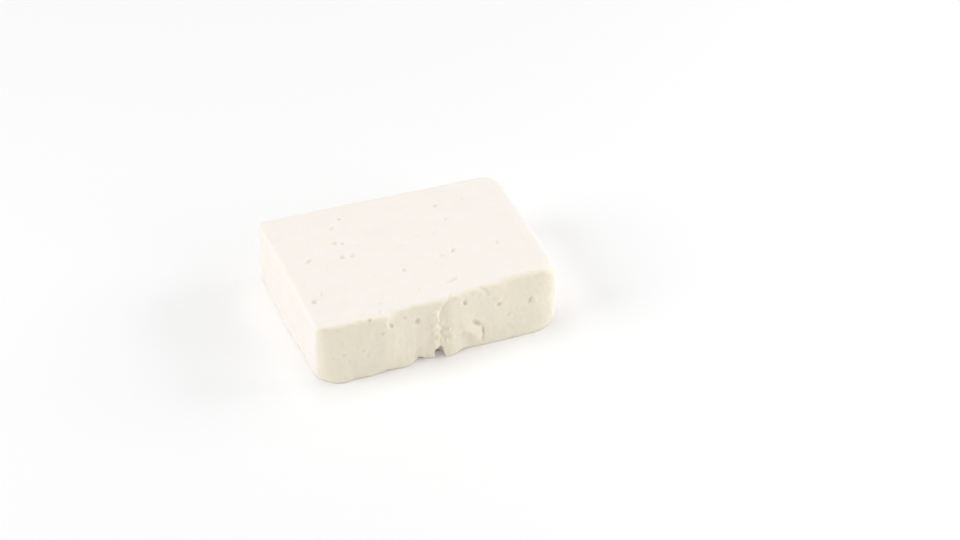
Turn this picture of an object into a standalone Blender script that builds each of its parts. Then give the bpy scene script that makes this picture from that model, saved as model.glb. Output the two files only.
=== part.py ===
"""Feta block: one slab of white brined cheese, cut by hand, resting on its flat base.

The slab is lofted between two plan outlines, a soft one at the base and a crisper one at the top.
Its front is a rough cut, with cracks, a flake broken away, crumbs left standing on the flake's bed,
notches at the toe and small open pits. The other faces but the left one have pits of the same kind.

Lengths are in metres. +X runs along the front to the right, +Y to the back and +Z up. Shapes are made
with the front left corner of the base at zero, and then moved to put the middle of the base there.
"""

import math
import random
from dataclasses import dataclass

import bmesh
import bpy
import numpy as np
from mathutils import Matrix, Vector, noise
from mathutils.bvhtree import BVHTree

MM = 0.001

# Driving dimensions of the slab
HEIGHT = 32.0 * MM
BASE_LENGTH = 122.8 * MM
TOP_LENGTH = 122.2 * MM
BASE_DEPTH = 94.5 * MM
TOP_DEPTH = 92.2 * MM
BASE_RIM = 0.6 * MM
TOP_RIM = 1.7 * MM
SOFT_RIM = 5.0 * MM
RIGHT_BELLY = 1.8 * MM
BASE_SPREAD_POWER = 1.4

# Plan radii of the upright edges: front left, front right, back right, back left
BASE_RADII = (7.0 * MM, 18.0 * MM, 12.0 * MM, 6.0 * MM)
TOP_RADII = (2.6 * MM, 8.0 * MM, 8.0 * MM, 4.0 * MM)

# How far back the cut front stands at its toe, half-way up and at its brow, in millimetres:
# (along, set-back). Chips at the toe and the brow make those two lines rougher than the middle.
FRONT_TOE = (
    (0, 3.0), (2.5, 1.2), (5.5, -0.9), (9.3, -3.5), (12, -4.0), (17, -2.3), (25, -3.2),
    (36, -1.5), (43, -2.7), (49, 1.9), (56, 0.4), (66, -1.5), (73.5, 1.8), (123, 1.6),
)  # fmt: skip
FRONT_MIDDLE = (
    (0, 1.6), (6, -0.6), (14, -1.8), (30, -1.6), (50, 0.8), (66, 1.4), (80, 3.4), (98, 5.3), (123, 5.0),
)  # fmt: skip
FRONT_BROW = (
    (0, -0.7), (20, -0.4), (32, -1.9), (40, 2.4), (60, 2.8), (73, 4.9),
    (86, 6.2), (98, 9.4), (108, 9.5), (115, 7.8), (123, 8.2),
)  # fmt: skip

# How far the front follows its middle line half-way up, and the power that spreads this up and down
MIDDLE_PULL = 0.85
MIDDLE_REACH = 0.55

# How far right of the front left corner the left side stands at its foot: (backward, set-in)
LEFT_FOOT = ((0, 0), (22, 0), (45, -1.3), (92, -1.4))
LEFT_BROW = ((0, 0), (50, 0), (92, -1.8))

# Fineness of the faces: steps that close up towards each upright edge, then an even step
EDGE_STEPS = (0.0, 1.1 * MM, 2.8 * MM, 5.4 * MM, 8.7 * MM, 12.5 * MM)
EVEN_STEP = 4.0 * MM
BASE_RIM_ANGLES = (90, 45, 0)
TOP_RIM_ANGLES = (0, 30, 60, 90)
SIDE_LEVELS = 7

# Unevenness of the faces: (size of a swell, height of a swell)
SIDE_SWELLS = ((17.0 * MM, 0.45 * MM), (6.5 * MM, 0.26 * MM))
TOP_SWELLS = ((26.0 * MM, 0.22 * MM), (9.0 * MM, 0.08 * MM))

CHEESE_COLOUR = (0.93, 0.90, 0.80, 1.0)
CHEESE_ROUGHNESS = 0.55


@dataclass(frozen=True)
class Face:
    """One side of the slab, seen from outside: its lower left corner and its three directions."""

    corner: tuple
    right: tuple
    up: tuple
    outward: tuple

    def turn(self):
        """Matrix that takes X to the right, Y up and Z outwards."""
        return Matrix((self.right, self.up, self.outward)).transposed()


FACES = {
    "front": Face((0, 0, 0), (1, 0, 0), (0, 0, 1), (0, -1, 0)),
    "top": Face((0, 0, HEIGHT), (1, 0, 0), (0, 1, 0), (0, 0, 1)),
    "right": Face((BASE_LENGTH, 0, 0), (0, 1, 0), (0, 0, 1), (1, 0, 0)),
    "back": Face((BASE_LENGTH, BASE_DEPTH, 0), (-1, 0, 0), (0, 0, 1), (0, 1, 0)),
    "base": Face((0, BASE_DEPTH, 0), (1, 0, 0), (0, -1, 0), (0, 0, -1)),
}


@dataclass(frozen=True)
class Lump:
    """A lumpy ball in a face: its centre, size and depth there in millimetres, and its turn in degrees.

    Squareness 1 is an ellipsoid, and lower values are closer to a box. Sink is how far its centre
    lies under the face.
    """

    along: float
    up: float
    length: float
    width: float
    depth: float
    turn: float = 0.0
    squareness: float = 1.0
    sink: float = 0.0


PIT_SINK_SHARE = 0.06
SHALLOW = 0.60
DEEP = 1.1


def pit(along, up, length, width, turn=0.0, depth_share=SHALLOW):
    """An open pit: its place and size in its face, its turn, and its ball's depth as a share of its width."""
    return Lump(along, up, length, width, depth_share * width, turn, sink=PIT_SINK_SHARE * width)


# Pits of the top, placed to the right of its front left corner and behind it
TOP_PITS = (
    pit(37, 81, 2.8, 2.8),
    pit(31, 75, 4.1, 2.6, 20),
    pit(28.6, 62.8, 3.3, 2.9, 15),
    pit(32.0, 61.2, 3.0, 2.6, 40),
    pit(28.5, 50.5, 3.8, 3.4, 30),
    pit(33.5, 50, 3.1, 3.0, 10),
    pit(38, 57, 1.9, 1.6),
    pit(12.5, 52.5, 5.6, 2.8, 35),
    pit(5.5, 21, 3.3, 3.6, 40),
    pit(10.5, 25.5, 5.8, 2.0, 75),
    pit(53, 30.5, 3.6, 3.0, 110),
    pit(37.5, 30, 2.2, 2.1),
    pit(34, 9, 2.3, 2.2),
    pit(31.5, 3.4, 2.4, 2.5),
    pit(54, 13.5, 2.3, 1.9),
    pit(71, 15, 7.9, 2.6, 20),
    pit(73, 35.5, 3.6, 2.1, 20),
    pit(79.5, 37.5, 4.3, 2.9, 45),
    pit(57.5, 50.5, 2.3, 1.9),
    pit(67, 55, 2.3, 2.0),
    pit(76.5, 55, 3.6, 2.0, 20),
    pit(85, 63.5, 2.4, 2.5),
    pit(84, 76, 3.8, 2.8, 30),
    pit(98, 77, 2.1, 2.0),
    pit(102, 36.5, 2.7, 2.6),
)

# Pits of the front, placed along it and up from the base
FRONT_PITS = (
    pit(25.3, 31.2, 3.1, 2.1, 8),
    pit(10, 31.6, 2.1, 1.5),
    pit(35.4, 25.8, 3.8, 2.3, -55, DEEP),
    pit(42.8, 27.3, 2.1, 1.5),
    pit(49.2, 23.4, 3.0, 3.0),
    pit(67.6, 30.0, 3.6, 2.4, -15),
    pit(73.2, 26.4, 2.7, 2.2, -60, DEEP),
    pit(87.6, 23.6, 2.6, 1.7, -50),
    pit(90.6, 20.2, 3.1, 2.1, 10, DEEP),
    pit(107, 18, 4.2, 2.0, 70, DEEP),
    pit(95.5, 12.6, 2.2, 1.6),
    pit(101.5, 9.5, 1.9, 1.5),
)

# Pits that a seeded draw sets in the faces with no pits listed above, but for the smooth left one
DRAWN_PITS = {"right": 9, "back": 11, "base": 5}
DRAWN_LENGTH = (1.4, 3.4)
DRAWN_WIDTH_SHARE = (0.5, 0.9)
DRAWN_END_MARGIN = 15.0
DRAWN_MARGIN = 7.0
DRAWN_SPACING = 6.0
CLEAR_OF_BASE_CENTRE = 14.0
DRAW_SEED = 11

# The large crumbs left standing at the right of the flake's bed
CRUMBS = (
    Lump(76.2, 10.0, 13.4, 5.0, 3.2, -44, 1.0, 0.2),
    Lump(78.8, 5.8, 6.4, 8.0, 2.6, -14, 1.0, 0.2),
)

# Small crumbs along the left edge of the flake's bed, and a few on the bed
EDGE_CRUMBS = (
    Lump(58.4, 25.6, 2.6, 3.6, 2.6, 10),
    Lump(58.8, 21.4, 2.2, 3.0, 2.8, -8),
    Lump(57.2, 18.2, 2.6, 2.6, 2.2, 20),
    Lump(59.6, 16.6, 2.6, 2.4, 2.4, -12),
    Lump(57.0, 14.2, 2.4, 2.2, 2.0, 35),
    Lump(59.4, 12.0, 2.8, 2.4, 2.4, -20),
    Lump(56.9, 9.4, 2.2, 2.6, 1.9, 0),
    Lump(64.6, 14.4, 2.4, 1.8, 1.8, 25),
    Lump(66.3, 9.7, 2.8, 2.0, 1.8, -10),
    Lump(63.4, 9.0, 2.0, 2.4, 1.8, 15),
    Lump(70.3, 27.0, 2.2, 1.8, 1.8, 30),
)

# Notches at the foot of the front, and the hollow over the large crumbs
TOE_NOTCHES = (
    Lump(59.9, 1.7, 4.9, 7.8, 11.0, 6, 0.7),
    Lump(50.2, 0.4, 3.4, 2.8, 4.0, 0, 0.8),
    Lump(71.5, -0.5, 7.0, 2.6, 4.0, 0, 0.8),
    Lump(33.0, -0.3, 5.0, 1.8, 3.0, 0, 0.9),
    Lump(79.0, 13.0, 6.6, 2.4, 3.2, -38, 0.9),
)


@dataclass(frozen=True)
class Crack:
    """A groove in the front: its course as (along, up) points, its width and its depth.

    Bed is how far the floor of a flake broken away takes to rise again, at the right of the course.
    """

    course: tuple
    width: float
    depth: float
    bed: float = 0.0


FLAKES = (
    Crack(
        (
            (66.0, 30.2), (64.0, 28.8), (61.6, 26.6), (60.0, 23.0),
            (59.4, 18.0), (60.3, 13.0), (59.6, 8.0), (60.4, 4.0),
        ),
        0.8, 1.7, 15.0,
    ),
)  # fmt: skip
CRACKS = (
    Crack(((67.0, 31.9), (65.2, 30.2), (62.6, 28.2), (60.7, 26.2), (60.0, 22.0)), 1.6, 2.6),
    Crack(((81.6, 12.8), (82.6, 9.0), (82.2, 4.5), (82.3, 0.4)), 1.5, 3.0),
    Crack(((81.5, 31.7), (84.4, 29.2), (86.8, 25.6)), 1.8, 1.0),
)
CRACK_STEP = 1.8
CRACK_WANDER = 0.45
CRACK_END_SHARE = 0.45
CRACK_REACH = 1.5

FINE_BALL = 2
COARSE_BALL = 1
FINE_BALL_LENGTH = 2.7
BALL_ROUGHNESS = 0.22
BALL_GRAIN = 1.3
RAY_START = 60.0 * MM
LANDING_SPREAD = 0.35


def clear_scene():
    """Remove every object, so that the scene holds the slab alone."""
    for obj in list(bpy.data.objects):
        bpy.data.objects.remove(obj)


def curve_through(stops, places):
    """Values at these places of a smooth curve through the (place, value) stops, with no overshoot."""
    stop_places, stop_values = np.array(stops, float).T
    rises = np.diff(stop_values) / np.diff(stop_places)
    before, after = rises[:-1], rises[1:]
    total = np.where(before * after > 0, before + after, 1)
    inner = np.where(before * after > 0, 2 * before * after / total, 0)
    slopes = np.concatenate([rises[:1], inner, rises[-1:]])
    low = np.clip(np.searchsorted(stop_places, places) - 1, 0, len(stops) - 2)
    high = low + 1
    span = stop_places[high] - stop_places[low]
    t = np.clip((places - stop_places[low]) / span, 0, 1)
    leaving = (1 + 2 * t) * (1 - t) ** 2 * stop_values[low] + t * (1 - t) ** 2 * span * slopes[low]
    arriving = t**2 * (3 - 2 * t) * stop_values[high] - t**2 * (1 - t) * span * slopes[high]
    return leaving + arriving


def stations(length):
    """Places along a side as shares of its length, closer together near its two ends."""
    even_length = length - 2 * EDGE_STEPS[-1]
    count = round(even_length / EVEN_STEP)
    even = [EDGE_STEPS[-1] + even_length * i / count for i in range(1, count)]
    ends = [length - step for step in reversed(EDGE_STEPS)]
    return np.array([*EDGE_STEPS, *even, *ends]) / length


ACROSS = stations(BASE_LENGTH)
BACKWARD = stations(BASE_DEPTH)


def rounded_side(places, length, start_radius, end_radius):
    """Distance along a side, and inset from it, with the side's half of each corner's arc."""
    raw = places * length
    along, inset = raw.copy(), np.zeros_like(raw)
    for distance, radius, direction in ((raw, start_radius, 1), (length - raw, end_radius, -1)):
        angle = math.pi / 4 * np.clip(1 - distance / radius, 0, 1)
        moved = radius * (1 - np.sin(angle)) - distance
        along += direction * np.where(distance < radius, moved, 0)
        inset += radius * (1 - np.cos(angle))
    return along, inset


def outline(length, depth, radii, front_stops, left_stops):
    """A plan outline's points, anticlockwise from above: front, right, back, left."""
    front_left, front_right, back_right, back_left = radii
    along, inset = rounded_side(ACROSS, length, front_left, front_right)
    front_y = curve_through(front_stops, along / MM) * MM
    front = np.stack([along, front_y + inset], 1)
    along, inset = rounded_side(ACROSS, length, back_left, back_right)
    rear = np.stack([along, depth - inset], 1)
    along, inset = rounded_side(BACKWARD, depth - front_y[-1], front_right, back_right)
    right = np.stack([length - inset, front_y[-1] + along], 1)
    along, inset = rounded_side(BACKWARD, depth - front_y[0], front_left, back_left)
    left = np.stack([inset, front_y[0] + along], 1)
    ring = np.concatenate([front[:-1], right[:-1], rear[:0:-1], left[:0:-1]])
    left_share = np.clip(1 - ring[:, 0] / length, 0, 1)
    ring[:, 0] += curve_through(left_stops, ring[:, 1] / MM) * MM * left_share
    return ring


def inward_normals(ring):
    """Unit vectors that point into the outline at its points."""
    tangents = np.roll(ring, -1, axis=0) - np.roll(ring, 1, axis=0)
    normals = np.stack([-tangents[:, 1], tangents[:, 0]], 1)
    return normals / np.linalg.norm(normals, axis=1, keepdims=True)


def levels(top_rim):
    """(height, inset) of each ring, from the base's rim, up the sides and round the top's rim.

    The top rim's radius is given for each point, so heights and insets are too.
    """
    rows = []
    for angle in np.radians(BASE_RIM_ANGLES):
        rows.append((BASE_RIM * (1 - math.sin(angle)), BASE_RIM * (1 - math.cos(angle))))
    for share in np.linspace(0, 1, SIDE_LEVELS + 1)[1:-1]:
        rows.append((BASE_RIM + (HEIGHT - top_rim - BASE_RIM) * share, 0.0))
    for angle in np.radians(TOP_RIM_ANGLES):
        rows.append((HEIGHT - top_rim * (1 - math.sin(angle)), top_rim * (1 - math.cos(angle))))
    return [np.broadcast_arrays(height, inset, top_rim)[:2] for height, inset in rows]


def sheet_within(ring):
    """Points of a grid that fills an outline, by rows from front to back."""
    wide, deep = len(ACROSS) - 1, len(BACKWARD) - 1
    closed = np.concatenate([ring, ring[:1]])
    front = closed[: wide + 1, None]
    right = closed[wide : wide + deep + 1, None]
    rear = closed[wide + deep : 2 * wide + deep + 1][::-1, None]
    left = closed[2 * wide + deep :][::-1, None]
    u, v = ACROSS[:, None, None], BACKWARD[None, :, None]
    across = (1 - v) * front + v * rear
    backward = (1 - u) * left.transpose(1, 0, 2) + u * right.transpose(1, 0, 2)
    corners = (1 - v) * ((1 - u) * front[0] + u * front[-1]) + v * ((1 - u) * rear[0] + u * rear[-1])
    return (across + backward - corners).transpose(1, 0, 2)


def swell(point, swells):
    """Height of the unevenness at a point."""
    return sum(height * noise.noise(point / size) for size, height in swells)


def roughen(bm):
    """Push the points of the slab in and out along its normals, with its base kept flat."""
    bm.normal_update()
    for vert in bm.verts:
        facing_up = max(vert.normal.z, 0.0)
        side, top = swell(vert.co, SIDE_SWELLS), swell(vert.co, TOP_SWELLS)
        push = vert.normal * (side + (top - side) * facing_up)
        if vert.co.z < BASE_RIM / 2:
            push.z = 0.0
        vert.co += push


def slab():
    """The uncut slab: rings from base to top, a grid across the top and one flat face below."""
    base = outline(BASE_LENGTH, BASE_DEPTH, BASE_RADII, FRONT_TOE, LEFT_FOOT)
    top = outline(TOP_LENGTH, TOP_DEPTH, TOP_RADII, FRONT_BROW, LEFT_BROW)
    lengths, depths = (BASE_LENGTH + TOP_LENGTH) / 2, (BASE_DEPTH + TOP_DEPTH) / 2
    middle = outline(lengths, depths, np.add(BASE_RADII, TOP_RADII) / 2, FRONT_MIDDLE, LEFT_FOOT)
    facing_right = np.clip(-inward_normals(top)[:, 0], 0, 1)
    bm = bmesh.new()
    rings = []
    for height, inset in levels(TOP_RIM + (SOFT_RIM - TOP_RIM) * facing_right):
        raised = (height / HEIGHT)[:, None]
        share = (1 - raised) ** BASE_SPREAD_POWER
        plan = top * (1 - share) + base * share
        mid_share = 4 * raised * (1 - raised)
        plan += MIDDLE_PULL * mid_share**MIDDLE_REACH * (middle - plan)
        bulge = RIGHT_BELLY * facing_right * mid_share[:, 0]
        plan += inward_normals(plan) * (inset - bulge)[:, None]
        rings.append([bm.verts.new((x, y, z)) for (x, y), z in zip(plan, height)])
    count = len(rings[0])
    for low, high in zip(rings, rings[1:]):
        for i in range(count):
            j = (i + 1) % count
            bm.faces.new((low[i], low[j], high[j], high[i]))
    bm.faces.new(reversed(rings[0]))

    rows = sheet_within(plan)
    wide, deep = len(ACROSS) - 1, len(BACKWARD) - 1
    rim = rings[-1]
    grid = [[bm.verts.new((x, y, HEIGHT)) for x, y in row[1:-1]] for row in rows[1:-1]]
    left, right = rim[:-deep:-1], rim[wide + 1 : wide + deep]
    grid = [[left[i], *row, right[i]] for i, row in enumerate(grid)]
    rear = rim[wide + deep : 2 * wide + deep + 1][::-1]
    grid = [rim[: wide + 1], *grid, rear]
    for near, far in zip(grid, grid[1:]):
        for i in range(wide):
            bm.faces.new((near[i], near[i + 1], far[i + 1], far[i]))
    roughen(bm)
    return bm


def landing(tree, face, along, up):
    """The point where a line square to the face meets the slab, for a place in millimetres."""
    turn = face.turn()
    start = Vector(face.corner) + turn @ Vector((along * MM, up * MM, RAY_START))
    point = tree.ray_cast(start, -Vector(face.outward))[0]
    if point is None:
        point = start - Vector(face.outward) * RAY_START
    return point


def tilted_turn(tree, face, lump):
    """Matrix that lays X and Y along the slab's own surface round a lump, and Z outwards."""
    reach_x, reach_y = LANDING_SPREAD * lump.length, LANDING_SPREAD * lump.width
    right = landing(tree, face, lump.along + reach_x, lump.up)
    right -= landing(tree, face, lump.along - reach_x, lump.up)
    lowest = max(lump.up - reach_y, reach_y)
    up = landing(tree, face, lump.along, lowest + 2 * reach_y) - landing(tree, face, lump.along, lowest)
    outward = right.cross(up).normalized()
    right.normalize()
    return Matrix((right, outward.cross(right), outward)).transposed()


def add_lump(bm, tree, face, lump, seed, follow=False):
    """Add a lump's lumpy ball to a mesh."""
    turn = tilted_turn(tree, face, lump) if follow else face.turn()
    centre = landing(tree, face, lump.along, max(lump.up, BASE_RIM / MM))
    centre += turn @ Vector((0, 0, -lump.sink * MM))
    if lump.up < BASE_RIM / MM:
        centre.z = lump.up * MM
    spin = Matrix.Rotation(math.radians(lump.turn), 3, "Z")
    half = Vector((lump.length, lump.width, lump.depth)) * MM / 2
    detail = FINE_BALL if lump.length >= FINE_BALL_LENGTH else COARSE_BALL
    for vert in bmesh.ops.create_icosphere(bm, subdivisions=detail, radius=1)["verts"]:
        grain = 1 + BALL_ROUGHNESS * noise.noise(vert.co * BALL_GRAIN + Vector((seed, 0, 0)))
        squared = Vector(math.copysign(abs(c) ** lump.squareness, c) for c in vert.co)
        vert.co = centre + turn @ (spin @ (squared * half * grain))


def add_crack(bm, tree, face, crack, seed):
    """Add a crack's wedge to a mesh: a triangle swept along its course, small at both ends."""
    course = [Vector(point) for point in crack.course]
    places = []
    for start, end in zip(course, course[1:]):
        steps = max(1, round((end - start).length / CRACK_STEP))
        places += [start.lerp(end, i / steps) for i in range(steps)]
    places.append(course[-1])
    turn, outward = face.turn(), Vector(face.outward)
    sections = []
    for i, place in enumerate(places):
        ahead = places[min(i + 1, len(places) - 1)] - places[max(i - 1, 0)]
        sideways = turn @ Vector((-ahead.y, ahead.x, 0)).normalized()
        wander = CRACK_WANDER * MM * noise.noise(Vector((i * 0.7, seed, 0)))
        along_share = i / (len(places) - 1)
        share = CRACK_END_SHARE + (1 - CRACK_END_SHARE) * math.sin(math.pi * along_share)
        depth, reach = crack.depth * share * MM, CRACK_REACH * MM
        half_mouth = crack.width * share * MM / 2 * (1 + reach / depth)
        foot = landing(tree, face, place.x, place.y) + sideways * wander
        beyond = Vector(face.right) * crack.bed * share * MM
        corners = (
            foot + outward * reach + sideways * half_mouth + beyond,
            foot + outward * reach - sideways * half_mouth,
            foot - outward * depth,
        )
        sections.append([bm.verts.new(corner) for corner in corners])
    for near, far in zip(sections, sections[1:]):
        for i in range(3):
            j = (i + 1) % 3
            bm.faces.new((near[i], near[j], far[j], far[i]))
    bm.faces.new(reversed(sections[0]))
    bm.faces.new(sections[-1])


def drawn_pits(name, draw):
    """Pits at places drawn in a face, none too near another or the face's edges."""
    size_right, size_up = face_size(name)
    pits = []
    while len(pits) < DRAWN_PITS[name]:
        along = draw.uniform(DRAWN_END_MARGIN, size_right - DRAWN_END_MARGIN)
        up = draw.uniform(DRAWN_MARGIN, size_up - DRAWN_MARGIN)
        length = draw.uniform(*DRAWN_LENGTH)
        width = length * draw.uniform(*DRAWN_WIDTH_SHARE)
        turn = draw.uniform(0, 180)
        off_centre = math.hypot(along - size_right / 2, up - size_up / 2)
        if name == "base" and off_centre < CLEAR_OF_BASE_CENTRE:
            continue
        if all(math.hypot(along - p.along, up - p.up) > DRAWN_SPACING for p in pits):
            pits.append(pit(along, up, length, width, turn))
    return pits


def face_size(name):
    """A face's width and height in millimetres."""
    width = BASE_LENGTH if name in ("back", "base") else BASE_DEPTH
    height = BASE_DEPTH if name == "base" else HEIGHT
    return width / MM, height / MM


def mesh_object(name, bm, centre):
    """An object for a mesh, moved so that the given point comes to zero."""
    bmesh.ops.translate(bm, verts=bm.verts, vec=-centre)
    bmesh.ops.recalc_face_normals(bm, faces=bm.faces)
    mesh = bpy.data.meshes.new(name)
    bm.to_mesh(mesh)
    bm.free()
    mesh.shade_smooth()
    obj = bpy.data.objects.new(name, mesh)
    bpy.context.scene.collection.objects.link(obj)
    return obj


def shape_with(block, name, bm, centre, operation):
    """Join a helper mesh to the block, or cut it away, by a Boolean."""
    helper = mesh_object(name, bm, centre)
    helper.hide_render = True
    helper.display_type = "WIRE"
    helper.parent = block
    boolean = block.modifiers.new(name, "BOOLEAN")
    boolean.operation = operation
    boolean.solver = "EXACT"
    boolean.object = helper


def cheese_material():
    """White cheese: a matt, slightly warm white that lets some light in."""
    material = bpy.data.materials.new("white_cheese")
    material.use_nodes = True
    shader = material.node_tree.nodes["Principled BSDF"]
    shader.inputs["Base Color"].default_value = CHEESE_COLOUR
    shader.inputs["Roughness"].default_value = CHEESE_ROUGHNESS
    shader.inputs["Metallic"].default_value = 0.0
    return material


def main():
    """Build the block and its helpers."""
    clear_scene()
    uncut = slab()
    tree = BVHTree.FromBMesh(uncut)
    corners = np.array([vert.co for vert in uncut.verts])
    low, high = corners.min(axis=0), corners.max(axis=0)
    centre = Vector(((low[0] + high[0]) / 2, (low[1] + high[1]) / 2, 0))
    block = mesh_object("feta_block", uncut, centre)
    block.data.materials.append(cheese_material())

    front = FACES["front"]
    for name, cracks in (("flakes", FLAKES), ("cracks", CRACKS)):
        bm = bmesh.new()
        for seed, crack in enumerate(cracks):
            add_crack(bm, tree, front, crack, seed)
        shape_with(block, name, bm, centre, "DIFFERENCE")
    for number, crumb in enumerate(CRUMBS):
        bm = bmesh.new()
        add_lump(bm, tree, front, crumb, number, follow=True)
        shape_with(block, f"crumb_{number}", bm, centre, "UNION")
    bm = bmesh.new()
    for seed, crumb in enumerate(EDGE_CRUMBS):
        add_lump(bm, tree, front, crumb, seed)
    shape_with(block, "edge_crumbs", bm, centre, "UNION")
    bm = bmesh.new()
    for seed, notch in enumerate(TOE_NOTCHES):
        add_lump(bm, tree, front, notch, seed)
    shape_with(block, "notches", bm, centre, "DIFFERENCE")

    draw = random.Random(DRAW_SEED)
    pits = {"top": TOP_PITS, "front": FRONT_PITS}
    pits.update({name: drawn_pits(name, draw) for name in DRAWN_PITS})
    bm = bmesh.new()
    seed = 0
    for name, face_pits in pits.items():
        for hole in face_pits:
            add_lump(bm, tree, FACES[name], hole, seed)
            seed += 1
    shape_with(block, "pits", bm, centre, "DIFFERENCE")


main()
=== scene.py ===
"""Feta block: the looks of one slab of white brined cheese.

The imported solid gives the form. It is refined here to a fine skin, which gets the curd's grain, the
dimples and drag marks of the cut front and a ragged toe, and is dressed as moist white cheese. Then come
the pale floor, the soft studio light and the camera.

Lengths are in metres. +X runs along the front to the right, +Y to the back and +Z up.
"""

import logging
import math
from dataclasses import dataclass, field
from enum import Enum, IntEnum

import bmesh
import bpy
import numpy as np
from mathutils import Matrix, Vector


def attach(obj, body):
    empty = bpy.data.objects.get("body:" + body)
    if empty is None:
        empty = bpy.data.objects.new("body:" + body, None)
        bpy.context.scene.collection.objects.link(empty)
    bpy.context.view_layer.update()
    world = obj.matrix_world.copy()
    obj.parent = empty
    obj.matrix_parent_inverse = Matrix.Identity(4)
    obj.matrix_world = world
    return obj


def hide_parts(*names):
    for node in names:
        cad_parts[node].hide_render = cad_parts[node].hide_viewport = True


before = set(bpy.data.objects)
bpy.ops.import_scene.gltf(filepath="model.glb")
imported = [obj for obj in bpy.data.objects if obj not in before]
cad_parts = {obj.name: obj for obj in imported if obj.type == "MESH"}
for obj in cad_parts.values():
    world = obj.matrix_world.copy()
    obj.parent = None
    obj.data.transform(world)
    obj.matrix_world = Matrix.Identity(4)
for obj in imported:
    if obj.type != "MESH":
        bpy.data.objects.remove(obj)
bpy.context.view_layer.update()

MM = 0.001
LOG = logging.getLogger("feta")

Colour = tuple[float, float, float, float]
Place = tuple[float, float, float]
Values = dict[str | int, object]


class Skin(Enum):
    """How a part of the slab's surface came about."""

    PRESSED = "pressed smooth by the mould"
    CUT = "cut or broken by hand"


class Seed(IntEnum):
    """The seed of each kind of mark."""

    UNEVENNESS = 5
    DIMPLES = 8
    PINHOLES = 9
    TOE = 14


def ramp(values: np.ndarray, start: float, reach: float) -> np.ndarray:
    """Shares that climb from 0 at the start value to 1 one reach above it."""
    return np.clip((values - start) / reach, 0, 1)


class Noise:
    """Seeded noise over points in space, worked out for all the points at once."""

    AXIS_PRIMES = (73856093, 19349663, 83492791)
    SEED_PRIME = 7919
    SALT_PRIME = 2654435761
    STIR_PRIME = 1274126177
    START_MASK = 0x7FFFFFFF
    STIR_MASK = 0x7FFFFFFFFFFF
    DRAW_MASK = 0xFFFFFF
    FIRST_SHIFT, LAST_SHIFT = 13, 16
    OCTAVE_STEP = 31.7
    BOWL_POWER = 1.5
    CELL_MARGIN, CELL_ROOM = 0.15, 0.7
    CENTRE_SALTS = (1, 2, 3)
    RADIUS_SALT, HELD_SALT = 4, 5

    def __init__(self, seed: int) -> None:
        """Keep the seed, which every draw depends on."""
        self.seed = seed

    def draw(self, cells: np.ndarray, salt: int = 0) -> np.ndarray:
        """A fixed random number for each cell.

        Args:
            cells: Whole numbers, three to a cell.
            salt: Tells apart several draws for one cell.

        Returns:
            Numbers from 0 to 1.
        """
        start = (self.seed * self.SEED_PRIME + salt * self.SALT_PRIME) & self.START_MASK
        mixed = np.full(cells.shape[:-1], start, np.int64)
        for axis, prime in enumerate(self.AXIS_PRIMES):
            mixed ^= cells[..., axis] * prime
        mixed ^= mixed >> self.FIRST_SHIFT
        mixed = (mixed * self.STIR_PRIME) & self.STIR_MASK
        mixed ^= mixed >> self.LAST_SHIFT
        return (mixed & self.DRAW_MASK) / self.DRAW_MASK

    def swell(self, points: np.ndarray, size: float) -> np.ndarray:
        """Smooth noise with swells of one size.

        Args:
            points: Places in metres, three numbers each.
            size: The size of a swell in metres.

        Returns:
            Heights from -1 to 1.
        """
        scaled = points / size
        cells = np.floor(scaled).astype(np.int64)
        part = scaled - cells
        eased = part**3 * (part * (part * 6 - 15) + 10)
        total = np.zeros(len(points))
        for corner in np.ndindex(2, 2, 2):
            weight = np.prod(np.where(corner, eased, 1 - eased), axis=1)
            total += weight * self.draw(cells + corner)
        return 2 * total - 1

    def fractal(self, points: np.ndarray, size: float, octaves: int, gain: float = 0.5) -> np.ndarray:
        """Noise of several sizes added up.

        Args:
            points: Places in metres, three numbers each.
            size: The largest swell in metres.
            octaves: How many sizes, each half the one before.
            gain: The height of each size as a share of the one before.

        Returns:
            Heights of about -1 to 1.
        """
        step = self.OCTAVE_STEP * size
        heights = [gain**i * self.swell(points + step * i, size / 2**i) for i in range(octaves)]
        return np.sum(heights, axis=0) / sum(gain**i for i in range(octaves))

    def dimples(
        self, points: np.ndarray, size: float, share: float, radii: tuple[float, float]
    ) -> np.ndarray:
        """Round hollows scattered over space, at most one to a cell.

        Args:
            points: Places in metres, three numbers each.
            size: The cell's size in metres.
            share: The share of the cells that hold a hollow.
            radii: The smallest and the largest radius in metres.

        Returns:
            How deep each point lies in a hollow: 0 outside, 1 at the middle.
        """
        cells = np.floor(points / size).astype(np.int64)
        depth = np.zeros(len(points))
        for step in np.ndindex(3, 3, 3):
            near = cells + np.array(step) - 1
            jitter = np.stack([self.draw(near, salt) for salt in self.CENTRE_SALTS], axis=1)
            centre = (near + self.CELL_MARGIN + self.CELL_ROOM * jitter) * size
            radius = radii[0] + (radii[1] - radii[0]) * self.draw(near, self.RADIUS_SALT) ** 2
            apart = np.linalg.norm(points - centre, axis=1) / radius
            bowl = np.clip(1 - apart**2, 0, 1) ** self.BOWL_POWER
            depth = np.maximum(depth, np.where(self.draw(near, self.HELD_SALT) < share, bowl, 0))
        return depth


@dataclass(frozen=True)
class Relief:
    """How uneven one skin is: the height of each kind of mark in metres, and how many cells hold a dimple."""

    swell: float
    curd: float
    grain: float
    drag: float
    dimple: float
    dimple_share: float
    pinhole: float


RELIEFS = {
    Skin.PRESSED: Relief(0.05 * MM, 0.03 * MM, 0.015 * MM, 0.0, 0.25 * MM, 0.10, 0.22 * MM),
    Skin.CUT: Relief(0.16 * MM, 0.16 * MM, 0.10 * MM, 0.12 * MM, 0.55 * MM, 0.34, 0.45 * MM),
}


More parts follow.
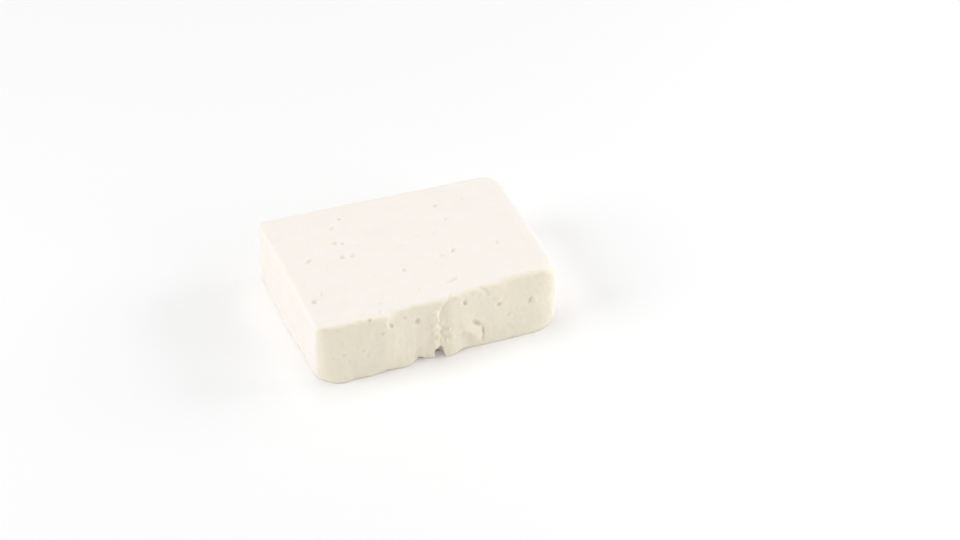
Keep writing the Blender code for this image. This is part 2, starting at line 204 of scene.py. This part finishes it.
@dataclass(frozen=True)
class Dab:
    """A soft bump or dent on the front, in millimetres and degrees.

    Its place is measured along the front from the left and up from the base. The rise is out of the front,
    or into it below 0.
    """

    along: float
    up: float
    width: float
    height: float
    rise: float
    turn: float = 0.0


FRONT_DABS = (
    Dab(58.2, 18.6, 3.6, 15.0, 0.65),
    Dab(56.6, 22.8, 2.4, 3.4, 0.60),
    Dab(61.4, 18.6, 2.2, 2.8, 0.70),
    Dab(62.4, 13.2, 2.6, 2.2, 0.70),
    Dab(61.2, 9.4, 2.2, 2.6, 0.70),
    Dab(57.6, 7.0, 2.8, 2.8, 0.55),
    Dab(65.2, 12.0, 2.4, 2.0, 0.65),
    Dab(66.4, 5.6, 4.2, 3.4, 0.60),
    Dab(71.8, 15.2, 2.4, 1.8, 0.60, -20),
    Dab(71.6, 8.6, 3.0, 4.4, -0.40, -30),
    Dab(85.4, 7.4, 2.2, 7.0, 0.30),
    Dab(91.2, 23.4, 2.6, 2.0, 0.70, 20),
    Dab(71.2, 28.2, 1.8, 1.6, 0.40),
    Dab(109.4, 17.6, 1.9, 3.4, 0.70, 10),
    Dab(33.0, 26.8, 2.2, 2.0, 0.70),
    Dab(34.0, 30.4, 3.0, 2.0, 0.50),
    Dab(25.6, 30.8, 2.0, 1.4, -0.55),
    Dab(20.4, 31.2, 1.8, 1.2, -0.40),
    Dab(9.8, 29.6, 2.6, 1.4, -0.45),
    Dab(4.4, 30.6, 2.2, 1.2, -0.30),
    Dab(24.0, 12.6, 1.8, 4.4, -0.30),
    Dab(18.8, 18.2, 1.6, 2.6, -0.30),
    Dab(11.2, 21.6, 2.0, 2.2, -0.35),
    Dab(7.7, 14.2, 2.0, 2.6, -0.30),
    Dab(42.6, 26.8, 2.4, 1.6, -0.40, -20),
    Dab(49.4, 22.6, 4.0, 3.4, -0.35),
    Dab(39.6, 14.6, 1.8, 5.6, -0.25, 6),
    Dab(47.0, 12.8, 1.6, 5.0, 0.25, -8),
    Dab(53.2, 17.6, 2.0, 3.4, -0.25),
    Dab(96.0, 6.2, 4.2, 2.6, -0.25),
    Dab(104.4, 25.0, 3.4, 2.6, -0.22),
    Dab(101.2, 16.0, 3.0, 4.0, 0.22),
    Dab(112.6, 10.4, 3.6, 4.6, 0.22),
)


@dataclass(frozen=True)
class Pattern:
    """One noise of a finish: the size of its features in metres, its detail and its roughness."""

    size: float
    detail: float
    roughness: float


@dataclass(frozen=True)
class CheeseFinish:
    """Moist white cheese: a warm white that lets light in, with painted shade darkening its hollows.

    The skin's cut and hollow attributes run from 0 to 1, and the fields named after them give what they
    change at 1.
    """

    white: Colour = (0.935, 0.862, 0.800, 1.0)
    pale: Colour = (0.960, 0.897, 0.846, 1.0)
    # painted shade: the darker cream put in pits and cracks, where shade falls
    hollow_shade: Colour = (0.820, 0.775, 0.695, 1.0)
    # partly the cut curd's own cream, partly painted warm bounce light on the front face
    cut_and_bounce_tint: Colour = (1.0, 0.985, 0.875, 1.0)
    mottle: Pattern = Pattern(9.0 * MM, 4, 0.6)
    curd: Pattern = Pattern(2.4 * MM, 3, 0.55)
    grain: Pattern = Pattern(0.55 * MM, 2, 0.5)
    pale_share: float = 0.4
    mottle_contrast: float = 1.3
    curd_contrast: float = 0.25
    curd_contrast_cut: float = 0.35
    hollow_shade_share: float = 0.85
    roughness: float = 0.54
    roughness_spread: float = 0.14
    roughness_cut: float = 0.06
    roughness_hollow: float = 0.10
    gloss: float = 0.28
    refraction: float = 1.42
    scatter_weight: float = 0.55
    scatter_depth: float = 1.6 * MM
    scatter_colour: tuple[float, float, float] = (1.0, 0.82, 0.58)
    bump_height: float = 0.05 * MM
    bump_grain: float = 0.7
    bump_curd: float = 0.3

    def material(self) -> bpy.types.Material:
        """Make the material, which reads the skin's own hollow and cut attributes.

        Returns:
            The material.
        """
        shader = Shader("white_cheese")
        place = shader.node("ShaderNodeTexCoord", output="Object")
        hollow = shader.node("ShaderNodeAttribute", {"attribute_name": "hollow"}, output="Fac")
        cut = shader.node("ShaderNodeAttribute", {"attribute_name": "cut"}, output="Fac")
        mottle, curd, grain = (shader.noise(place, kind) for kind in (self.mottle, self.curd, self.grain))

        curd_tint = (curd - 0.5) * (self.curd_contrast + self.curd_contrast_cut * cut)
        tint = (mottle - 0.5) * self.mottle_contrast + curd_tint
        body = shader.mix((tint + self.pale_share).clamped(), self.white, self.pale)
        # The front is tinted warmer: partly the cut curd's own cream, partly painted warm light bounced up
        # onto the front.
        body = shader.tinted(cut, body, self.cut_and_bounce_tint)
        # The hollows blend toward a painted shade colour, standing in for the shade that falls in pits and
        # cracks.
        colour = shader.mix((hollow * self.hollow_shade_share).clamped(), body, self.hollow_shade)
        roughness = self.roughness + (curd - 0.5) * self.roughness_spread
        roughness = roughness + self.roughness_cut * cut - self.roughness_hollow * hollow
        height = grain * self.bump_grain + curd * self.bump_curd
        shader.principled(
            {
                "Base Color": colour,
                "Roughness": roughness.clamped(),
                "Normal": shader.bump(height, self.bump_height),
                "IOR": self.refraction,
                "Specular IOR Level": self.gloss,
                "Subsurface Weight": self.scatter_weight,
                "Subsurface Scale": self.scatter_depth,
                "Subsurface Radius": self.scatter_colour,
            }
        )
        return shader.material


@dataclass(frozen=True)
class FloorFinish:
    """A plain pale floor with no pattern."""

    colour: Colour = (0.96, 0.96, 0.96, 1.0)
    roughness: float = 0.75
    gloss: float = 0.1

    def material(self) -> bpy.types.Material:
        """Make the material.

        Returns:
            The material.
        """
        shader = Shader("pale_floor")
        shader.principled(
            {"Base Color": self.colour, "Roughness": self.roughness, "Specular IOR Level": self.gloss}
        )
        return shader.material


class Signal:
    """A value that varies over a surface: one output socket of a material, with arithmetic."""

    def __init__(self, shader: "Shader", socket: bpy.types.NodeSocket) -> None:
        """Wrap a socket of a shader's tree."""
        self.shader = shader
        self.socket = socket

    def math(self, operation: str, first: "Signal | float", second: "Signal | float") -> "Signal":
        """One Math node with two inputs."""
        return self.shader.node("ShaderNodeMath", {"operation": operation}, {0: first, 1: second})

    def __add__(self, other: "Signal | float") -> "Signal":
        """Sum."""
        return self.math("ADD", self, other)

    __radd__ = __add__

    def __sub__(self, other: "Signal | float") -> "Signal":
        """Difference."""
        return self.math("SUBTRACT", self, other)

    def __rsub__(self, other: "Signal | float") -> "Signal":
        """Difference from a number."""
        return self.math("SUBTRACT", other, self)

    def __mul__(self, other: "Signal | float") -> "Signal":
        """Product."""
        return self.math("MULTIPLY", self, other)

    __rmul__ = __mul__

    def clamped(self) -> "Signal":
        """The same value, held between 0 and 1."""
        return self.shader.node("ShaderNodeClamp", inputs={"Value": self})


class Shader:
    """One material's nodes. A Mix node's colour sockets have numbers, because their names repeat."""

    MIX_FIRST, MIX_SECOND, MIX_RESULT = 6, 7, 2

    def __init__(self, name: str) -> None:
        """Start a material with a Principled surface.

        Args:
            name: The material's name.
        """
        self.material = bpy.data.materials.new(name)
        self.material.use_nodes = True
        self.tree = self.material.node_tree
        self.surface = self.tree.nodes["Principled BSDF"]

    def feed(self, socket: bpy.types.NodeSocket, value: "Signal | float | tuple") -> None:
        """Link a signal to an input socket, or set its value.

        Args:
            socket: The input socket.
            value: The signal, or a plain number or colour.
        """
        if isinstance(value, Signal):
            self.tree.links.new(value.socket, socket)
        else:
            socket.default_value = value

    def node(
        self,
        kind: str,
        settings: Values | None = None,
        inputs: Values | None = None,
        output: int | str = 0,
    ) -> Signal:
        """Make any node.

        Args:
            kind: The node's type.
            settings: Its settings by name, which are set first.
            inputs: Values or signals for its sockets, by name or number.
            output: The output socket wanted, by name or number.

        Returns:
            The signal of that output.
        """
        made = self.tree.nodes.new(kind)
        for name, value in (settings or {}).items():
            setattr(made, name, value)
        for name, value in (inputs or {}).items():
            self.feed(made.inputs[name], value)
        return Signal(self, made.outputs[output])

    def noise(self, place: Signal, kind: Pattern) -> Signal:
        """Noise of one pattern."""
        values = {"Vector": place, "Scale": 1 / kind.size, "Detail": kind.detail, "Roughness": kind.roughness}
        return self.node("ShaderNodeTexNoise", {"noise_dimensions": "3D"}, values)

    def mix(
        self, factor: Signal, first: Signal | Colour, second: Signal | Colour, blend: str = "MIX"
    ) -> Signal:
        """Blend two colours.

        Args:
            factor: The second colour's share.
            first: The first colour.
            second: The second colour.
            blend: How the two are put together.

        Returns:
            The blended colour.
        """
        colours = {"Factor": factor, self.MIX_FIRST: first, self.MIX_SECOND: second}
        settings = {"data_type": "RGBA", "blend_type": blend}
        return self.node("ShaderNodeMix", settings, colours, output=self.MIX_RESULT)

    def tinted(self, factor: Signal, colour: Signal, tint: Colour) -> Signal:
        """Multiply a colour by a tint where the factor is 1."""
        return self.mix(factor, colour, tint, blend="MULTIPLY")

    def bump(self, height: Signal, distance: float) -> Signal:
        """A normal from a height signal and the real height of its full range in metres."""
        return self.node("ShaderNodeBump", inputs={"Height": height, "Distance": distance}, output="Normal")

    def principled(self, values: Values) -> None:
        """Feed the surface's own sockets."""
        for name, value in values.items():
            self.feed(self.surface.inputs[name], value)


@dataclass
class SkinMesh:
    """A fine mesh as arrays, for moving all of its points at once."""

    mesh: bpy.types.Mesh
    points: np.ndarray = field(init=False)
    edges: np.ndarray = field(init=False)

    def __post_init__(self) -> None:
        """Read the points and edges."""
        self.points = np.empty((len(self.mesh.vertices), 3))
        self.mesh.vertices.foreach_get("co", self.points.ravel())
        self.edges = np.empty((len(self.mesh.edges), 2), np.int32)
        self.mesh.edges.foreach_get("vertices", self.edges.ravel())

    def write(self) -> None:
        """Put the points back into the mesh."""
        self.mesh.vertices.foreach_set("co", self.points.ravel())
        self.mesh.update()

    def normals(self) -> np.ndarray:
        """Unit normals of the mesh as last written.

        Returns:
            One row for each point.
        """
        found = np.empty((len(self.mesh.vertices), 3), np.float32)
        self.mesh.vertex_normals.foreach_get("vector", found.ravel())
        return found.astype(float)

    def averaged(self, values: np.ndarray, passes: int, share: float = 1.0) -> np.ndarray:
        """Values smoothed over the mesh.

        Args:
            values: One row for each point.
            passes: How many times each point takes its neighbours' mean.
            share: How far it moves to that mean each time.

        Returns:
            The smoothed values, in the same form.
        """
        flat = values.reshape(len(self.points), -1).copy()
        ends = np.concatenate([self.edges, self.edges[:, ::-1]])
        count = np.maximum(np.bincount(ends[:, 0], minlength=len(flat)), 1)
        for _ in range(passes):
            sums = [np.bincount(ends[:, 0], col[ends[:, 1]], minlength=len(flat)) for col in flat.T]
            flat += share * (np.stack(sums, axis=1) / count[:, None] - flat)
        return flat.reshape(values.shape)

    def store(self, name: str, values: np.ndarray) -> None:
        """Keep a number for each point as an attribute."""
        attribute = self.mesh.attributes.new(name, "FLOAT", "POINT")
        attribute.data.foreach_set("value", values.astype(np.float32))


@dataclass
class FetaBlock:
    """The slab of cheese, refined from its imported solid.

    The facing fields say from which share of a normal a face counts as front, side or underside, and over
    how much more it comes to count in full.
    """

    node: str = "feta_block"
    name: str = "cheese_block"
    weld_within: float = 0.001 * MM
    voxel: float = 0.44 * MM
    settle_passes: int = 3
    settle_share: float = 0.5
    most_triangles: int = 190_000
    front_left: Vector = field(default_factory=lambda: Vector((-61.41 * MM, -45.44 * MM, 0.0)))

    lift_passes: int = 12
    front_facing: tuple[float, float] = (0.35, 0.35)
    side_facing: tuple[float, float] = (0.5, 0.3)
    under_facing: tuple[float, float] = (0.8, 0.2)
    side_cut_share: float = 0.5
    flat_below: float = 0.12 * MM
    free_over: float = 0.8 * MM

    swell_size: float = 7 * MM
    curd_size: float = 2.6 * MM
    grain_size: float = 1.1 * MM
    curd_shift: float = 0.3
    grain_shift: float = 0.7
    drag_size: float = 2.4 * MM
    drag_stretch: tuple[float, float, float] = (1, 1, 0.28)
    dimple_cell: float = 6.5 * MM
    dimple_radii: tuple[float, float] = (0.8 * MM, 1.9 * MM)
    pinhole_cell: float = 3.4 * MM
    pinhole_radii: tuple[float, float] = (0.4 * MM, 0.8 * MM)
    pinhole_share: float = 0.5

    toe_ragged: float = 0.70 * MM
    toe_height: float = 1.6 * MM
    toe_size: float = 3.2 * MM
    toe_gain: float = 0.6
    toe_share: float = 0.25

    hollow_depth: float = 0.55 * MM
    hollow_passes: int = 26
    mark_passes: int = 6

    def build(self) -> bpy.types.Object:
        """Make the fine mesh.

        Returns:
            The block's object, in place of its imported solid.
        """
        block = self.refined()
        skin = SkinMesh(block.data)
        skin.points = skin.averaged(skin.points, self.settle_passes, self.settle_share)
        skin.write()
        self.roughen(skin)
        block.data = self.thinned(block)
        skin = SkinMesh(block.data)
        self.mark(skin)
        block.data.shade_smooth()
        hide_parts(self.node)
        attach(block, "root")
        return block

    def refined(self) -> bpy.types.Object:
        """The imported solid's form as an even, fine mesh.

        Returns:
            The block's object, still smooth.
        """
        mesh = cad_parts[self.node].data.copy()
        mesh.name = self.name
        mesh.materials.clear()
        welded = bmesh.new()
        welded.from_mesh(mesh)
        bmesh.ops.remove_doubles(welded, verts=welded.verts, dist=self.weld_within)
        welded.to_mesh(mesh)
        welded.free()
        block = bpy.data.objects.new(self.name, mesh)
        bpy.context.scene.collection.objects.link(block)
        remesh = block.modifiers.new("refine", "REMESH")
        remesh.mode = "VOXEL"
        remesh.voxel_size = self.voxel
        block.data = self.applied(block)
        return block

    def applied(self, block: bpy.types.Object) -> bpy.types.Mesh:
        """Carry out the block's modifiers and remove them.

        Args:
            block: The block's object.

        Returns:
            The mesh that they give.
        """
        graph = bpy.context.evaluated_depsgraph_get()
        mesh = bpy.data.meshes.new_from_object(block.evaluated_get(graph))
        block.modifiers.clear()
        return mesh

    def thinned(self, block: bpy.types.Object) -> bpy.types.Mesh:
        """Thin out the block's mesh where it is flat.

        Args:
            block: The block's object.

        Returns:
            A mesh of no more than the most triangles allowed.
        """
        triangles = sum(len(face.vertices) - 2 for face in block.data.polygons)
        decimate = block.modifiers.new("thin", "DECIMATE")
        decimate.ratio = min(1.0, self.most_triangles / triangles)
        return self.applied(block)

    def roughen(self, skin: SkinMesh) -> None:
        """Move the points in and out for the relief that is too fine for the solid.

        Args:
            skin: The block's skin.
        """
        normals = skin.averaged(skin.normals(), self.lift_passes)
        normals /= np.linalg.norm(normals, axis=1, keepdims=True)
        points = skin.points - np.array(self.front_left)
        front = ramp(-normals[:, 1], *self.front_facing)
        side = ramp(np.abs(normals[:, :2]).max(axis=1), *self.side_facing)
        cut = np.maximum(front, side * self.side_cut_share)
        height = sum(
            self.relief(points, RELIEFS[skin_kind]) * weight
            for skin_kind, weight in ((Skin.CUT, cut), (Skin.PRESSED, 1 - cut))
        )
        height += front * self.dabbed(points)
        height += self.ragged_toe(points) * side
        under = ramp(-normals[:, 2], *self.under_facing)
        moved = normals * (height * (1 - under))[:, None]
        moved[:, 2] *= ramp(points[:, 2], self.flat_below, self.free_over)
        skin.points += moved
        low = skin.points[:, 2] < self.flat_below
        skin.points[low, 2] = 0.0
        skin.write()

    def relief(self, points: np.ndarray, relief: Relief) -> np.ndarray:
        """Heights of one skin's marks.

        Args:
            points: Places in metres, from the front's lower left corner.
            relief: How uneven the skin is.

        Returns:
            Heights in metres.
        """
        noise = Noise(Seed.UNEVENNESS)
        layers = (
            (relief.swell, points, self.swell_size),
            (relief.curd, points + self.curd_shift, self.curd_size),
            (relief.grain, points + self.grain_shift, self.grain_size),
            (relief.drag, points * self.drag_stretch, self.drag_size),
        )
        height = sum(rise * noise.fractal(places, size, octaves=2) for rise, places, size in layers)
        dimples = Noise(Seed.DIMPLES).dimples(
            points, self.dimple_cell, relief.dimple_share, self.dimple_radii
        )
        pinholes = Noise(Seed.PINHOLES).dimples(
            points, self.pinhole_cell, relief.dimple_share * self.pinhole_share, self.pinhole_radii
        )
        return height - relief.dimple * dimples - relief.pinhole * pinholes

    def dabbed(self, points: np.ndarray) -> np.ndarray:
        """Heights of the bumps and dents listed for the front.

        Args:
            points: Places in metres, from the front's lower left corner.

        Returns:
            Heights in metres.
        """
        height = np.zeros(len(points))
        for dab in FRONT_DABS:
            across, up = points[:, 0] - dab.along * MM, points[:, 2] - dab.up * MM
            angle = math.radians(dab.turn)
            turned_across = across * math.cos(angle) + up * math.sin(angle)
            turned_up = up * math.cos(angle) - across * math.sin(angle)
            apart = (turned_across / (dab.width * MM / 2)) ** 2 + (turned_up / (dab.height * MM / 2)) ** 2
            height += dab.rise * MM * np.exp(-apart)
        return height

    def ragged_toe(self, points: np.ndarray) -> np.ndarray:
        """Heights of the crumbling edge round the foot.

        Args:
            points: Places in metres, from the front's lower left corner.

        Returns:
            Heights in metres, none above 0.
        """
        low = np.clip(1 - points[:, 2] / self.toe_height, 0, 1)
        crumbled = Noise(Seed.TOE).fractal(points, self.toe_size, octaves=3, gain=self.toe_gain)
        return -self.toe_ragged * low * np.clip(crumbled + self.toe_share, 0, 1)

    def mark(self, skin: SkinMesh) -> None:
        """Store where the skin lies in a hollow and where it is cut.

        Args:
            skin: The block's skin.
        """
        even = skin.averaged(skin.points, self.hollow_passes)
        normals = skin.averaged(skin.normals(), self.mark_passes)
        depth = np.sum((even - skin.points) * normals, axis=1) / self.hollow_depth
        skin.store("hollow", np.clip(skin.averaged(depth, 1), 0, 1))
        skin.store("cut", ramp(-normals[:, 1], *self.front_facing))

    def dress(self, block: bpy.types.Object, finish: CheeseFinish) -> None:
        """Give the block its finish."""
        block.data.materials.clear()
        block.data.materials.append(finish.material())


@dataclass(frozen=True)
class Softbox:
    """One square white area light: its place, what it faces, its side in metres and its power in watts."""

    name: str
    place: Place
    facing: Place
    side: float
    power: float

    def build(self) -> bpy.types.Object:
        """Make the light.

        Returns:
            The light's object.
        """
        light = bpy.data.lights.new(self.name, "AREA")
        light.shape = "SQUARE"
        light.size = self.side
        light.energy = self.power
        lamp = bpy.data.objects.new(self.name, light)
        lamp.location = self.place
        lamp.rotation_euler = (Vector(self.facing) - Vector(self.place)).to_track_quat("-Z", "Y").to_euler()
        bpy.context.scene.collection.objects.link(lamp)
        return lamp


@dataclass
class Studio:
    """The pale floor, the soft light and the camera, whose turn, tilt and lens are the photograph's."""

    floor_side: float = 12.0
    floor_drop: float = 0.02 * MM
    sky_colour: Colour = (1.0, 1.0, 1.0, 1.0)
    sky_strength: float = 0.42
    softboxes: tuple[Softbox, ...] = (
        Softbox("overhead", (-0.10, 0.35, 1.50), (0, 0, 0), 1.1, 6.9),
        Softbox("left_window", (-1.25, 0.10, 0.70), (0, 0, 0), 0.9, 8.5),
        Softbox("right_window", (1.15, -0.12, 0.48), (0.03, 0, 0.01), 0.5, 3.5),
        Softbox("back_window", (1.10, 0.30, 0.40), (0.03, 0, 0.01), 0.5, 1.9),
        Softbox("near_window", (0.42, -0.55, 0.32), (0.03, -0.02, 0.01), 0.35, 0.95),
    )
    azimuth: float = -20.1
    elevation: float = 36.0
    distance: float = 1.2986
    aim: Place = (0.03236, -0.0068, 0.016)
    focal_pixels: float = 2700.0
    image_width: int = 960
    sensor_width: float = 36.0

    def build(self) -> None:
        """Make the floor, the lights and the sky."""
        half = self.floor_side / 2
        mesh = bpy.data.meshes.new("floor")
        corners = [(-half, -half), (half, -half), (half, half), (-half, half)]
        mesh.from_pydata([(x, y, -self.floor_drop) for x, y in corners], [], [(0, 1, 2, 3)])
        floor = bpy.data.objects.new("floor", mesh)
        bpy.context.scene.collection.objects.link(floor)
        floor.data.materials.append(FloorFinish().material())
        for softbox in self.softboxes:
            softbox.build()
        self.light_sky()
        LOG.info("floor, sky and %d softboxes", len(self.softboxes))

    def light_sky(self) -> None:
        """Make the even light from all round."""
        world = bpy.data.worlds.new("sky")
        world.use_nodes = True
        background = world.node_tree.nodes["Background"]
        background.inputs["Color"].default_value = self.sky_colour
        background.inputs["Strength"].default_value = self.sky_strength
        bpy.context.scene.world = world

    def point_camera(self) -> bpy.types.Object:
        """Make the camera, which looks at the block from its front left.

        Returns:
            The camera's object.
        """
        turn, tilt = math.radians(self.azimuth), math.radians(self.elevation)
        back = Vector((math.sin(turn) * math.cos(tilt), -math.cos(turn) * math.cos(tilt), math.sin(tilt)))
        data = bpy.data.cameras.new("camera")
        data.sensor_width = self.sensor_width
        data.lens = self.focal_pixels * self.sensor_width / self.image_width
        camera = bpy.data.objects.new("camera", data)
        camera.location = Vector(self.aim) + back * self.distance
        camera.rotation_euler = back.to_track_quat("Z", "Y").to_euler()
        bpy.context.scene.collection.objects.link(camera)
        bpy.context.scene.camera = camera
        return camera


def main() -> None:
    """Build the studio and the block."""
    logging.basicConfig(level=logging.INFO, format="%(name)s: %(message)s")
    scene = bpy.context.scene
    scene.view_settings.view_transform = "Standard"
    studio = Studio()
    camera = studio.point_camera()
    studio.build()
    LOG.info("camera with a %.1f mm lens", camera.data.lens)

    maker = FetaBlock()
    block = maker.build()
    maker.dress(block, CheeseFinish())
    LOG.info("%s: %d faces", block.name, len(block.data.polygons))


if __name__ == "__main__":
    main()
